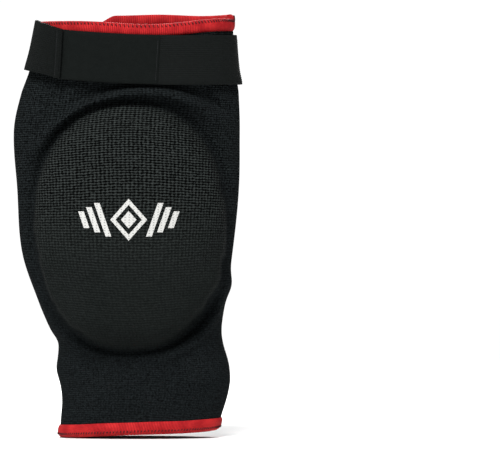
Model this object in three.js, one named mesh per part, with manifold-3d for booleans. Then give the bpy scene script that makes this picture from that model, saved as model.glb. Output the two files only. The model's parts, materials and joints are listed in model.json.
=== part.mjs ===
// Elbow pad for boxing and martial arts: a knit sleeve with a foam dome over the elbow,
// a bound hole at the elbow pit and an elastic strap closed by hook and loop.
// Millimetres, +Z up along the arm. The dome faces -Y, the elbow pit faces +Y.
// The pad stands on its lower hem, relaxed to a flat oval.

import * as THREE from 'three';
import { mergeVertices } from 'three/addons/utils/BufferGeometryUtils.js';
import Module from 'manifold-3d';

const wasm = await Module();
wasm.setup();

// ---- Driving dimensions ----

const GAP = 0.3;               // clearance between pieces that touch
const AROUND = 40;             // flats around the sleeve
const KNIT = 2.4;              // thickness of the knit wall
const SLEEVE_TOP = 251.4;      // where the knit ends, inside the top binding
const SLEEVE_FOOT = 1.6;       // where the knit ends, inside the hem binding
const FOLD_LINE = 116;         // the sleeve folds at the elbow here

// Sleeve sections by height: height, then centre x, half width and half depth.
const SECTIONS = [
  [0, 5.7, 47, 22],
  [32, 9.9, 50.6, 21],
  [56, 6.9, 50.3, 20.5],
  [82, 2.2, 56.6, 21],
  [112, -0.6, 63.7, 22],
  [150, -0.2, 66.8, 22],
  [186, -0.9, 68.1, 21.5],
  [216, 1.9, 65, 20.5],
  [236, 3.6, 61.8, 20],
  [254, 4.8, 59.4, 19.5],
];

const DOME = { x: 1.5, z: 127, halfWidth: 59, halfHeight: 74, rise: 21 };
const FOAM_RIM = 0.9;          // edge of the foam, as a share of the dome's outline
const FOAM_CLEARANCE = 1;      // play between foam and knit
const LINING = { halfWidth: 57, halfHeight: 77, thickness: 0.8 };

const HOLE = { x: 0, z: 127, halfWidth: 23.5, halfHeight: 18.5 };
const HOLE_BINDING = 8;        // width of the red ring around the hole
const RING_PLAY = 0.1;         // extra room for the ring's facets on the curved knit
const BINDING = 0.6;           // thickness of the binding tape
const BINDING_HEIGHT = 8;
const THREAD = 0.3;            // radius of the sewing thread

const STRAP = { middle: 231, height: 30, thickness: 1.2, offset: 2.1 };
const STRAP_SLOPE = 0.04;      // drop of the strap towards +X
const STRAP_LIFT = 0.2;        // extra rise of the strap beyond the tail's end
const STRAP_SAG = 2.9;         // how far the strap hangs down at the middle of the front
const TAIL_END = -38;          // x of the free end, on the front
const BAND_START = -53;        // x of the other end, under the tail
const LOOP_END = 19;           // x where the loop patch ends
const PATCH = 0.7;             // thickness of the hook and loop patches
const PATCH_MARGIN = 1.5;      // strap showing above and below a patch

const INK = 0.4;               // thickness of the printed mark
const MARK = { z: 131.5, halfWidth: 11, halfHeight: 12.5, line: 3.2 };
const MARK_BARS = { first: 15.5, width: 3.4, pitch: 5.6, slant: 0.35, heights: [20, 15, 10] };

// ---- Materials ----

function material(color, roughness) {
  return new THREE.MeshStandardMaterial({ color, roughness, metalness: 0 });
}

const blackKnit = material(0x23272a, 0.95);
const redBinding = material(0xc8232d, 0.75);
const blackElastic = material(0x1b1d1e, 0.8);
const hookLoop = material(0x151617, 0.9);
const foam = material(0x4a4c4e, 0.85);
const lining = material(0x2a2b2d, 0.9);
const thread = material(0x101112, 0.7);
const redThread = material(0x8a1a22, 0.7);
const whitePrint = material(0xf0f0ee, 0.55);

// ---- The sleeve's surface ----

const sections = new THREE.CubicInterpolant(
  SECTIONS.map((section) => section[0]),
  SECTIONS.flatMap((section) => section.slice(1)),
  3,
);

// How far the dome stands out at a place on the front.
function domeRise(x, z) {
  const across = (x - DOME.x) / DOME.halfWidth;
  const up = (z - DOME.z) / DOME.halfHeight;
  const inside = 1 - across * across - up * up;
  return inside > 0 ? DOME.rise * inside ** 0.75 : 0;
}

// A point of the sleeve's outer face: u is the angle around, and domeShare 0 leaves the dome out.
function surfacePoint(u, z, domeShare) {
  const [centre, halfWidth, halfDepth] = sections.evaluate(z);
  const x = centre + halfWidth * Math.cos(u);
  const y = halfDepth * Math.sin(u);
  return new THREE.Vector3(x, y < 0 ? y - domeShare * domeRise(x, z) : y, z);
}

// The same point moved level, outwards from the sleeve.
function offsetPoint(u, z, offset, domeShare = 1) {
  const step = 0.01;
  const along = surfacePoint(u + step, z, domeShare).sub(surfacePoint(u - step, z, domeShare));
  const outwards = new THREE.Vector3(along.y, -along.x, 0).normalize();
  return surfacePoint(u, z, domeShare).addScaledVector(outwards, offset);
}

// The angle around of a place on the front, from its x.
function frontAngle(x, z) {
  const [centre, halfWidth] = sections.evaluate(z);
  return 2 * Math.PI - Math.acos((x - centre) / halfWidth);
}

function backDepth(x, z) {
  const [centre, halfWidth, halfDepth] = sections.evaluate(z);
  return halfDepth * Math.sqrt(1 - ((x - centre) / halfWidth) ** 2);
}

// ---- Closed meshes from rings of points ----

function solid(points, triangles) {
  const geometry = new THREE.BufferGeometry();
  geometry.setAttribute('position', new THREE.Float32BufferAttribute(points.flatMap((p) => p.toArray()), 3));
  let volume = 0;
  for (const [a, b, c] of triangles) {
    volume += points[a].dot(points[b].clone().cross(points[c]));
  }
  const outward = volume > 0 ? triangles : triangles.map(([a, b, c]) => [a, c, b]);
  geometry.setIndex(outward.flat());
  return geometry;
}

// Joins sections of the same number of points into a closed ring, or a strip with its ends filled.
// A strip's section runs along one side and back along the other, so its ends fill rung by rung.
function sweep(sectionAt, steps, closed) {
  const rows = [];
  for (let i = 0; i < (closed ? steps : steps + 1); i += 1) {
    rows.push(sectionAt(i / steps));
  }
  const count = rows[0].length;
  const triangles = [];
  for (let i = 0; i < steps; i += 1) {
    const next = (i + 1) % rows.length;
    for (let j = 0; j < count; j += 1) {
      const k = (j + 1) % count;
      triangles.push([i * count + j, next * count + j, next * count + k]);
      triangles.push([i * count + j, next * count + k, i * count + k]);
    }
  }
  if (!closed) {
    const last = steps * count;
    for (let j = 0; j < count / 2 - 1; j += 1) {
      const k = count - 1 - j;
      triangles.push([j, j + 1, k - 1], [j, k - 1, k]);
      triangles.push([last + j, last + k - 1, last + j + 1], [last + j, last + k, last + k - 1]);
    }
  }
  return solid(rows.flat(), triangles);
}

// A section between two offsets from the surface, cut into stacked steps from low to high.
function wall(u, low, high, inner, outer, stack, domeShare = 1) {
  const heights = [];
  for (let i = 0; i <= stack; i += 1) {
    heights.push(low + (high - low) * (i / stack));
  }
  const outside = heights.map((z) => offsetPoint(u, z, outer, domeShare));
  const inside = heights.map((z) => offsetPoint(u, z, inner, domeShare)).reverse();
  return [...outside, ...inside];
}

// A round thread's section; place turns distances across and up into a point.
function threadSection(place) {
  const sides = 5;
  const section = [];
  for (let i = 0; i < sides; i += 1) {
    const turn = (2 * Math.PI * i) / sides;
    section.push(place(THREAD * Math.cos(turn), THREAD * Math.sin(turn)));
  }
  return section;
}

// ---- Cutting with manifold ----

function toManifold(geometry) {
  const bare = geometry.clone();
  bare.deleteAttribute('normal');
  bare.deleteAttribute('uv');
  const merged = mergeVertices(bare);
  const vertProperties = new Float32Array(merged.attributes.position.array);
  const triVerts = new Uint32Array(merged.index.array);
  return new wasm.Manifold(new wasm.Mesh({ numProp: 3, vertProperties, triVerts }));
}

function fromManifold(body) {
  const mesh = body.getMesh();
  const geometry = new THREE.BufferGeometry();
  geometry.setAttribute('position', new THREE.BufferAttribute(mesh.vertProperties, 3));
  geometry.setIndex(new THREE.BufferAttribute(mesh.triVerts, 1));
  return geometry;
}

// ---- Sleeve ----

// The knit is cut back from the hole's edge, inside the fold of the ring.
const KNIT_CUT = BINDING + GAP + 1;

function holeCutter() {
  const outline = new THREE.Shape();
  const halfWidth = HOLE.halfWidth + KNIT_CUT;
  const halfHeight = HOLE.halfHeight + KNIT_CUT;
  const backEnd = 45;          // well behind the sleeve
  const frontEnd = 5;          // inside the sleeve, short of its front wall
  outline.absellipse(0, 0, halfWidth, halfHeight, 0, 2 * Math.PI);
  const extrusion = { depth: backEnd - frontEnd, bevelEnabled: false, curveSegments: 16 };
  const cutter = new THREE.ExtrudeGeometry(outline, extrusion);
  cutter.rotateX(Math.PI / 2);
  cutter.translate(HOLE.x, backEnd, HOLE.z);
  return toManifold(cutter);
}

function sleeveHalf(low, high, stack) {
  const tube = sweep((t) => wall(2 * Math.PI * t, low, high, -KNIT, 0, stack), AROUND, true);
  return fromManifold(toManifold(tube).subtract(holeCutter()));
}

// ---- Foam dome and its lining ----

// A pillow between two faces over an oval outline; each face gives a point from x and z.
function pillow(halfWidth, halfHeight, rings, frontFace, backFace) {
  const spokes = 32;
  const points = [];
  for (const face of [frontFace, backFace]) {
    points.push(face(DOME.x, DOME.z));
    for (let ring = 1; ring <= rings; ring += 1) {
      for (let spoke = 0; spoke < spokes; spoke += 1) {
        const turn = (2 * Math.PI * spoke) / spokes;
        const x = DOME.x + halfWidth * (ring / rings) * Math.cos(turn);
        const z = DOME.z + halfHeight * (ring / rings) * Math.sin(turn);
        points.push(face(x, z));
      }
    }
  }
  const faceSize = 1 + rings * spokes;
  const triangles = [];
  for (let spoke = 0; spoke < spokes; spoke += 1) {
    const next = (spoke + 1) % spokes;
    triangles.push([0, 1 + spoke, 1 + next], [faceSize, faceSize + 1 + next, faceSize + 1 + spoke]);
    for (let ring = 0; ring < rings - 1; ring += 1) {
      const a = 1 + ring * spokes + spoke;
      const b = 1 + ring * spokes + next;
      triangles.push([a, a + spokes, b + spokes], [a, b + spokes, b]);
      const c = faceSize + a;
      const d = faceSize + b;
      triangles.push([c, d + spokes, c + spokes], [c, d, d + spokes]);
    }
    const rim = 1 + (rings - 1) * spokes;
    const p = rim + spoke;
    const q = rim + next;
    triangles.push([p, faceSize + p, faceSize + q], [p, faceSize + q, q]);
  }
  return solid(points, triangles);
}

function frontPoint(x, z, offset, domeShare) {
  return offsetPoint(frontAngle(x, z), z, offset, domeShare);
}

function foamPad() {
  const halfWidth = DOME.halfWidth * FOAM_RIM;
  const halfHeight = DOME.halfHeight * FOAM_RIM;
  const front = (x, z) => frontPoint(x, z, -KNIT - FOAM_CLEARANCE, 1);
  const back = (x, z) => frontPoint(x, z, -KNIT, 0);
  return pillow(halfWidth, halfHeight, 6, front, back);
}

const LINING_OFFSET = -KNIT - GAP;

function padLining() {
  const front = (x, z) => frontPoint(x, z, LINING_OFFSET, 0);
  const back = (x, z) => frontPoint(x, z, LINING_OFFSET - LINING.thickness, 0);
  return pillow(LINING.halfWidth, LINING.halfHeight, 5, front, back);
}

function liningSeam() {
  const inset = 3;
  const flatness = 0.7;        // room for the lining's facets
  const offset = LINING_OFFSET - LINING.thickness - flatness - THREAD;
  const sectionAt = (t) => threadSection((across, up) => {
    const turn = 2 * Math.PI * t;
    const x = DOME.x + (LINING.halfWidth - inset + across) * Math.cos(turn);
    const z = DOME.z + (LINING.halfHeight - inset + across) * Math.sin(turn);
    return frontPoint(x, z, offset + up, 0);
  });
  return sweep(sectionAt, 40, true);
}

// ---- Bindings: tape folded over an edge ----

// Section of tape folded over a level edge; fold is the height of its closed end.
function edgeBinding(fold, open) {
  const inner = -KNIT - GAP;
  const inside = fold + Math.sign(open - fold) * BINDING;
  return sweep((t) => {
    const u = 2 * Math.PI * t;
    return [
      offsetPoint(u, fold, GAP + BINDING),
      offsetPoint(u, open, GAP + BINDING),
      offsetPoint(u, open, GAP),
      offsetPoint(u, inside, GAP),
      offsetPoint(u, inside, inner),
      offsetPoint(u, open, inner),
      offsetPoint(u, open, inner - BINDING),
      offsetPoint(u, fold, inner - BINDING),
    ];
  }, AROUND, true);
}

function edgeSeam(z) {
  const offset = GAP + BINDING + GAP + THREAD;
  const sectionAt = (t) => threadSection(
    (across, up) => offsetPoint(2 * Math.PI * t, z + up, offset + across),
  );
  return sweep(sectionAt, AROUND, true);
}

// A point beside the hole: out is measured from its edge, proud from the knit's outer face.
function holePoint(t, out, proud) {
  const turn = 2 * Math.PI * t;
  const x = HOLE.x + (HOLE.halfWidth + out) * Math.cos(turn);
  const z = HOLE.z + (HOLE.halfHeight + out) * Math.sin(turn);
  return new THREE.Vector3(x, backDepth(x, z) + proud, z);
}

function holeBinding() {
  const face = GAP + RING_PLAY;
  const back = -KNIT - GAP - RING_PLAY;
  return sweep((t) => [
    holePoint(t, 0, face + BINDING),
    holePoint(t, HOLE_BINDING, face + BINDING),
    holePoint(t, HOLE_BINDING, face),
    holePoint(t, BINDING, face),
    holePoint(t, BINDING, back),
    holePoint(t, HOLE_BINDING, back),
    holePoint(t, HOLE_BINDING, back - BINDING),
    holePoint(t, 0, back - BINDING),
  ], 40, true);
}

function holeSeam() {
  const out = HOLE_BINDING - 1.5;
  const proud = RING_PLAY + GAP + BINDING + GAP + THREAD;
  return sweep((t) => threadSection((across, up) => holePoint(t, out + across, proud + up)), 40, true);
}

// ---- Strap ----

const STRAP_OUTER = STRAP.offset + STRAP.thickness;
const LOOP_OFFSET = STRAP_OUTER + GAP;
const HOOK_OFFSET = LOOP_OFFSET + PATCH + GAP;
const TAIL_OFFSET = HOOK_OFFSET + PATCH + GAP;
const LEFT_EDGE = Math.PI;
const TAIL_SLIT = 0.05;        // half the slit between band and tail at the left edge, as an angle

// Height of the strap's middle line above STRAP.middle.
function strapRise(u) {
  const x = surfacePoint(u, STRAP.middle, 0).x;
  const forwards = Math.max(0, -Math.sin(u));
  return -STRAP_SLOPE * x + STRAP_LIFT * Math.max(0, TAIL_END - x) - STRAP_SAG * forwards ** 2;
}

// A strip of tape on the strap's line, from one angle to another, with offsets as functions of the angle.
function strapStrip(from, to, steps, margin, innerAt, thickness) {
  const half = STRAP.height / 2 - margin;
  return sweep((t) => {
    const u = from + (to - from) * t;
    const middle = STRAP.middle + strapRise(u);
    const inner = innerAt(u);
    return wall(u, middle - half, middle + half, inner, inner + thickness, 2);
  }, steps, false);
}

function strapFrontAngle(x) {
  return frontAngle(x, STRAP.middle);
}

function strapBand() {
  const from = strapFrontAngle(BAND_START);
  const to = 2 * Math.PI + LEFT_EDGE - TAIL_SLIT;
  return strapStrip(from, to, 40, 0, () => STRAP.offset, STRAP.thickness);
}

function loopPatch() {
  const from = strapFrontAngle(BAND_START + 1);
  const to = strapFrontAngle(LOOP_END);
  return strapStrip(from, to, 10, PATCH_MARGIN, () => LOOP_OFFSET, PATCH);
}

// The tail leaves the band's level at the left edge and climbs over the band's end and the patches.
function tailOffset(u) {
  const climb = (strapFrontAngle(BAND_START - 3) - LEFT_EDGE) * 0.9;
  const share = THREE.MathUtils.smoothstep(u - LEFT_EDGE, 0, climb);
  return STRAP.offset + (TAIL_OFFSET - STRAP.offset) * share;
}

function strapTail() {
  return strapStrip(LEFT_EDGE + TAIL_SLIT, strapFrontAngle(TAIL_END), 10, 0, tailOffset, STRAP.thickness);
}

function hookPatch() {
  const from = strapFrontAngle(BAND_START + 1);
  const to = strapFrontAngle(TAIL_END - 1.5);
  return strapStrip(from, to, 3, PATCH_MARGIN, () => HOOK_OFFSET, PATCH);
}

// A sewn line across the strap at one place.
function strapSeam(u, offset, margin) {
  const half = STRAP.height / 2 - margin;
  const middle = STRAP.middle + strapRise(u);
  const width = 0.6;
  const [, halfWidth, halfDepth] = sections.evaluate(STRAP.middle);
  const turn = width / Math.hypot(halfWidth * Math.sin(u), halfDepth * Math.cos(u));
  return sweep((t) => {
    const z = middle - half + 2 * half * t;
    return [
      offsetPoint(u - turn, z, offset),
      offsetPoint(u + turn, z, offset),
      offsetPoint(u + turn, z, offset + 2 * THREAD),
      offsetPoint(u - turn, z, offset + 2 * THREAD),
    ];
  }, 2, false);
}

// ---- Printed mark: a generic lozenge between slanted bars ----

function markPoint(x, z, offset) {
  return frontPoint(DOME.x + x, MARK.z + z, offset, 1);
}

function markLozenge(size, line) {
  const corners = [[1, 0], [0, 1], [-1, 0], [0, -1]];
  const share = line / Math.min(MARK.halfWidth, MARK.halfHeight);
  return sweep((t) => {
    const along = t * 4;
    const [fromX, fromZ] = corners[Math.floor(along) % 4];
    const [toX, toZ] = corners[(Math.floor(along) + 1) % 4];
    const part = along % 1;
    const x = (fromX + (toX - fromX) * part) * MARK.halfWidth * size;
    const z = (fromZ + (toZ - fromZ) * part) * MARK.halfHeight * size;
    const inner = 1 - share / size;
    return [
      markPoint(x, z, GAP),
      markPoint(x, z, GAP + INK),
      markPoint(x * inner, z * inner, GAP + INK),
      markPoint(x * inner, z * inner, GAP),
    ];
  }, 12, true);
}

function markBar(side, index) {
  const height = MARK_BARS.heights[index];
  const middle = MARK_BARS.first + MARK_BARS.pitch * index;
  return sweep((t) => {
    const z = height * (t - 0.5);
    const x = side * (middle + MARK_BARS.slant * z);
    return [
      markPoint(x - MARK_BARS.width / 2, z, GAP),
      markPoint(x + MARK_BARS.width / 2, z, GAP),
      markPoint(x + MARK_BARS.width / 2, z, GAP + INK),
      markPoint(x - MARK_BARS.width / 2, z, GAP + INK),
    ];
  }, 3, false);
}

// ---- Assembly ----

const pad = new THREE.Group();

function add(name, geometry, look) {
  const mesh = new THREE.Mesh(geometry, look);
  mesh.name = name;
  pad.add(mesh);
}

add('sleeve_lower', sleeveHalf(SLEEVE_FOOT, FOLD_LINE - GAP / 2, 9), blackKnit);
add('sleeve_upper', sleeveHalf(FOLD_LINE + GAP / 2, SLEEVE_TOP, 11), blackKnit);
add('foam_pad', foamPad(), foam);
add('pad_lining', padLining(), lining);
add('lining_seam', liningSeam(), thread);

const topFold = SLEEVE_TOP + GAP + BINDING;
add('hem_binding', edgeBinding(0, BINDING_HEIGHT), redBinding);
add('hem_seam', edgeSeam(BINDING_HEIGHT - 2), redThread);
add('top_binding', edgeBinding(topFold, topFold - BINDING_HEIGHT), redBinding);
add('top_seam', edgeSeam(topFold - 2), redThread);
add('hole_binding', holeBinding(), redBinding);
add('hole_seam', holeSeam(), redThread);

add('strap_band', strapBand(), blackElastic);
add('strap_anchor_seam', strapSeam(0, STRAP_OUTER + GAP, 2), thread);
add('loop_patch', loopPatch(), hookLoop);
add('strap_tail', strapTail(), blackElastic);
add('hook_patch', hookPatch(), hookLoop);
add('tail_end_seam', strapSeam(strapFrontAngle(TAIL_END - 3), TAIL_OFFSET + STRAP.thickness + GAP, 2), thread);
add('loop_end_seam', strapSeam(strapFrontAngle(LOOP_END - 1.5), LOOP_OFFSET + PATCH + GAP, 3), thread);

add('mark_lozenge', markLozenge(1, MARK.line), whitePrint);
add('mark_core', markLozenge(0.42, 0.42 * MARK.halfWidth - 0.3), whitePrint);
for (let index = 0; index < MARK_BARS.heights.length; index += 1) {
  add(`mark_bar_left_${index + 1}`, markBar(-1, index), whitePrint);
  add(`mark_bar_right_${index + 1}`, markBar(1, index), whitePrint);
}

// The origin is below the middle of the whole pad.
const box = new THREE.Box3().setFromObject(pad);
const middle = box.getCenter(new THREE.Vector3());
pad.position.set(-middle.x, -middle.y, 0);

export default pad;
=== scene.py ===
# %% [markdown]
# # A knit elbow pad for boxing and martial arts
# The pad is a knitted tube for the arm. A foam dome sits in a pocket over the elbow, red tape
# binds both ends and the hole at the elbow pit, and an elastic strap closes it round the upper arm.
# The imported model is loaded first, as a fixed frame. Everything made here follows its places and
# sizes, in metres: X runs across, the dome faces -Y, and Z runs up the arm.
# %% The frame
import json
import math

import bpy
import numpy as np
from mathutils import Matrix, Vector
from mathutils.bvhtree import BVHTree


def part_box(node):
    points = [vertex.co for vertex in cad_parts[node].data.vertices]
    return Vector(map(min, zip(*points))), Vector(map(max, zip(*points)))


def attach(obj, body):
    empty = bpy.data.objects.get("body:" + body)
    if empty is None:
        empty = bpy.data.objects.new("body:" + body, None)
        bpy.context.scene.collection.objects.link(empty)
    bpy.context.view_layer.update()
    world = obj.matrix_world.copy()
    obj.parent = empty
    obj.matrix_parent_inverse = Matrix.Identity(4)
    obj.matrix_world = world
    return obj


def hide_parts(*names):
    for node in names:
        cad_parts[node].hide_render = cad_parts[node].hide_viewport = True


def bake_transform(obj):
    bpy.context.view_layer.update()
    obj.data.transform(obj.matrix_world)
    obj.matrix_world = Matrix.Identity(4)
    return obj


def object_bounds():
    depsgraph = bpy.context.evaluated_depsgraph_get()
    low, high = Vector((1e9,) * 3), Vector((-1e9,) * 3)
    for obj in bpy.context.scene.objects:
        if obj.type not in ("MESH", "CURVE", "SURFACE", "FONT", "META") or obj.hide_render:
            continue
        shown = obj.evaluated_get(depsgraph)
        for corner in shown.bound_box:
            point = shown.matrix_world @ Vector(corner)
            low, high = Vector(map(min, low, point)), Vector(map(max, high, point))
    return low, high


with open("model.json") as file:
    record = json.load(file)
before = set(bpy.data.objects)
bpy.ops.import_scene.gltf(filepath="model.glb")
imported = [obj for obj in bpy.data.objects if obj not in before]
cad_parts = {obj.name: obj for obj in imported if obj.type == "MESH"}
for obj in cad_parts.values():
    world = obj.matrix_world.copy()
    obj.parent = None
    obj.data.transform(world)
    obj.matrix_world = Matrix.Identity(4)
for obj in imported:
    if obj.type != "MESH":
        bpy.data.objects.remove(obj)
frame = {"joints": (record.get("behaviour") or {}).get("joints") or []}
cad_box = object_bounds()
MM = 0.001
FULL_TURN = math.tau
LOWER = "forearm_half"
UPPER = "upper_arm_half"
TAIL = "strap_end"
print("CAD box, mm:", [[round(v / MM, 1) for v in corner] for corner in cad_box])

# %% [markdown]
# ## Working by hand, in code
# Blender's operators act on whatever is selected. These helpers do what a hand does with the
# mouse: pick one object, go into edit mode, select faces by where they are, and apply a modifier.
# %% Selecting and editing
def pick(piece):
    if bpy.context.object and bpy.context.object.mode != "OBJECT":
        bpy.ops.object.mode_set(mode="OBJECT")
    bpy.ops.object.select_all(action="DESELECT")
    piece.select_set(True)
    bpy.context.view_layer.objects.active = piece
    return piece


def named(name):
    piece = bpy.context.object
    piece.name = name
    piece.data.name = name
    return piece


def apply_modifier(piece, kind, **settings):
    pick(piece)
    modifier = piece.modifiers.new(kind.title(), kind)
    for key, value in settings.items():
        setattr(modifier, key, value)
    bpy.ops.object.modifier_apply(modifier=modifier.name)


def corners(piece):
    places = np.empty(len(piece.data.vertices) * 3)
    piece.data.vertices.foreach_get("co", places)
    return places.reshape(-1, 3)


def move_corners(piece, places):
    piece.data.vertices.foreach_set("co", np.asarray(places, float).ravel())
    piece.data.update()


def in_edit(piece, *steps):
    pick(piece)
    bpy.ops.object.mode_set(mode="EDIT")
    bpy.ops.mesh.select_all(action="SELECT")
    for step in steps:
        step()
    bpy.ops.object.mode_set(mode="OBJECT")


def outward():
    bpy.ops.mesh.normals_make_consistent(inside=False)


def merge():
    bpy.ops.mesh.remove_doubles(threshold=0.00002)


def smooth(piece, angle=180):
    pick(piece)
    if angle < 180:
        bpy.ops.object.shade_smooth_by_angle(angle=math.radians(angle))
    else:
        bpy.ops.object.shade_smooth()


def told(piece):
    box = corners(piece)
    size = (box.max(0) - box.min(0)) / MM
    print(f"{piece.name}: {len(piece.data.polygons)} faces, {size.round(1)} mm")
    return piece


def ramp(value, low, high):
    """0 below low, 1 above high, and a smooth rise between."""
    share = np.clip((value - low) / (high - low), 0, 1)
    return share * share * (3 - 2 * share)


# %% [markdown]
# ## The form that everything is wrapped on
# A sleeve is easiest to describe by its sections, as a pattern cutter would: at each height, where
# its middle is, how wide it is and how deep. A smooth curve through those gives the whole form.
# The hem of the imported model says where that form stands.
# %% The sleeve's form
# Height, middle, half width and half depth of each section.
SECTIONS = np.array([
    [0, 5.7, 47, 22],
    [32, 9.9, 50.6, 21],
    [56, 6.9, 50.3, 20.5],
    [82, 2.2, 56.6, 21],
    [112, -0.6, 63.7, 22],
    [150, -0.2, 66.8, 22],
    [186, -0.9, 68.1, 21.5],
    [216, 1.9, 65, 20.5],
    [236, 3.6, 61.8, 20],
    [254, 4.8, 59.4, 19.5],
]) * MM
TAPE_FACE = 0.9 * MM
hem_low, hem_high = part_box("hem_binding")
SHIFT_X = hem_low.x + SECTIONS[0, 2] + TAPE_FACE - SECTIONS[0, 1]
SHIFT_Y = (hem_low.y + hem_high.y) / 2
KNIT_WALL = 2.4 * MM
# The foam dome's place and size on the front.
DOME_X = SHIFT_X + 1.5 * MM
DOME_Z = 127 * MM
DOME_HALF_WIDTH = 59 * MM
DOME_HALF_HEIGHT = 73.5 * MM
DOME_SQUARENESS = 2.25
STRAP_GRIP = 1.3 * MM
knit_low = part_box("sleeve_lower")[0].z
knit_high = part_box("sleeve_upper")[1].z


def section(z):
    """Middle, half width and half depth at each height, on a smooth curve through SECTIONS."""
    heights = SECTIONS[:, 0]
    values = SECTIONS[:, 1:]
    slopes = np.gradient(values, axis=0) / np.gradient(heights)[:, None]
    z = np.clip(z, heights[0], heights[-1])
    row = np.clip(np.searchsorted(heights, z) - 1, 0, len(heights) - 2)
    span = heights[row + 1] - heights[row]
    t = ((z - heights[row]) / span)[:, None]
    span = span[:, None]
    start = values[row] * (1 + 2 * t) * (1 - t) ** 2 + slopes[row] * span * t * (1 - t) ** 2
    end = values[row + 1] * t * t * (3 - 2 * t) + slopes[row + 1] * span * t * t * (t - 1)
    return (start + end).T


def form(u, z, out):
    """Points on the form: u is the angle around, z the height and out the distance off it.

    Under the strap the form is drawn in a little at its two sides.
    """
    u, z, out = np.broadcast_arrays(*(np.asarray(v, float) for v in (u, z, out)))
    middle, half_width, half_depth = section(z)
    out = out - STRAP_GRIP * np.cos(u) ** 8 * ramp(z, 208 * MM, 222 * MM)
    x = SHIFT_X + middle + half_width * np.cos(u)
    y = SHIFT_Y + half_depth * np.sin(u)
    normal_x = half_depth * np.cos(u)
    normal_y = half_width * np.sin(u)
    length = np.hypot(normal_x, normal_y)
    return np.stack([x + out * normal_x / length, y + out * normal_y / length, z], 1)


def front_angle(x, z):
    """The angle around of a place on the front, from its x."""
    middle, half_width, _ = section(z)
    across = np.clip((x - SHIFT_X - middle) / half_width, -1, 1)
    return FULL_TURN - np.arccos(across)


print("form stands at", round(SHIFT_X / MM, 2), round(SHIFT_Y / MM, 2), "mm")

# %% [markdown]
# ## Camera, light and floor
# The camera looks straight at the dome through a long lens, so nothing is stretched. Black cloth
# only shows its shape where light slants across it. So a broad skylight comes from above the front,
# a soft lamp stands left and right, and a strong one behind lights the rims and the floor. The
# floor runs on for metres and the world beyond it is white, so no edge shows.
# %% Camera
VIEW_WIDTH = 0.300
VIEW_MIDDLE = Vector((0.0727, 0, 0.1278))
LENS = 300
SENSOR = 36
MEASURED_BEHIND_FACE = 20 * MM
distance = VIEW_WIDTH * LENS / SENSOR
dome_face = cad_box[0][1]
camera_data = bpy.data.cameras.new("camera")
camera_data.lens = LENS
camera_data.sensor_width = SENSOR
camera = bpy.data.objects.new("camera", camera_data)
camera.location = (VIEW_MIDDLE.x, dome_face + MEASURED_BEHIND_FACE - distance, VIEW_MIDDLE.z)
camera.rotation_euler = (math.pi / 2, 0, 0)
bpy.context.scene.collection.objects.link(camera)
bpy.context.scene.camera = camera
print("camera stands", round(distance, 3), "m away")


# %% Lamps and surroundings
def aimed(data, place, aim):
    piece = bpy.data.objects.new(data.name, data)
    piece.location = place
    piece.rotation_euler = (Vector(aim) - Vector(place)).to_track_quat("-Z", "Y").to_euler()
    bpy.context.scene.collection.objects.link(piece)


def lamp(name, place, aim, size, power):
    data = bpy.data.lights.new(name, "AREA")
    data.shape = "RECTANGLE"
    data.size, data.size_y = size
    data.energy = power
    aimed(data, place, aim)


def skylight(place, aim, strength, spread):
    data = bpy.data.lights.new("skylight", "SUN")
    data.energy = strength
    data.angle = math.radians(spread)
    aimed(data, place, aim)


AIM = (0.0, 0.0, 0.14)
FILL = 0.14
BACKDROP = 1.05
skylight((-0.20, -0.66, 0.96), AIM, 5.0, 30)
lamp("lamp_left", (-0.9, -0.35, 0.45), AIM, (0.4, 0.6), 0.9)
lamp("lamp_right", (0.95, -0.3, 0.4), AIM, (0.4, 0.6), 0.6)
lamp("lamp_back", (0.1, 0.9, 0.8), AIM, (0.8, 0.5), 16.0)


def studio_world():
    """White where the camera sees past the floor, and a dimmer even fill for the pad."""
    world = bpy.data.worlds.new("studio")
    world.use_nodes = True
    tree = world.node_tree
    background = tree.nodes["Background"]
    background.inputs["Color"].default_value = (1, 1, 1, 1)
    seen = tree.nodes.new("ShaderNodeLightPath")
    strength = tree.nodes.new("ShaderNodeMapRange")
    strength.inputs["To Min"].default_value = FILL
    strength.inputs["To Max"].default_value = BACKDROP
    tree.links.new(seen.outputs["Is Camera Ray"], strength.inputs["Value"])
    tree.links.new(strength.outputs[0], background.inputs["Strength"])
    return world


bpy.context.scene.world = studio_world()
bpy.context.scene.view_settings.view_transform = "Standard"
print("studio lit")

# %% The floor
FLOOR = 30.0
FLOOR_DROP = 0.2 * MM
bpy.ops.object.select_all(action="DESELECT")
bpy.ops.mesh.primitive_plane_add(size=FLOOR, location=(0, 0, -FLOOR_DROP))
floor = named("floor")
pick(floor)
bpy.ops.object.transform_apply(location=True, rotation=True, scale=True)
told(floor)

# %% [markdown]
# ## Finishes as sums
# A finish in Blender is a net of nodes. Written as sums it reads better: a Wire holds the output
# of a node, and adding or multiplying wires adds the Math node that does it.
# %% Wires and finishes
class Wire:
    def __init__(self, finish, socket):
        self.finish = finish
        self.socket = socket

    def __add__(self, other):
        return self.finish.math("ADD", self, other)

    def __sub__(self, other):
        return self.finish.math("SUBTRACT", self, other)

    def __rsub__(self, other):
        return self.finish.math("SUBTRACT", other, self)

    def __mul__(self, other):
        return self.finish.math("MULTIPLY", self, other)

    def __pow__(self, other):
        return self.finish.math("POWER", self, other)

    __radd__ = __add__
    __rmul__ = __mul__


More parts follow.
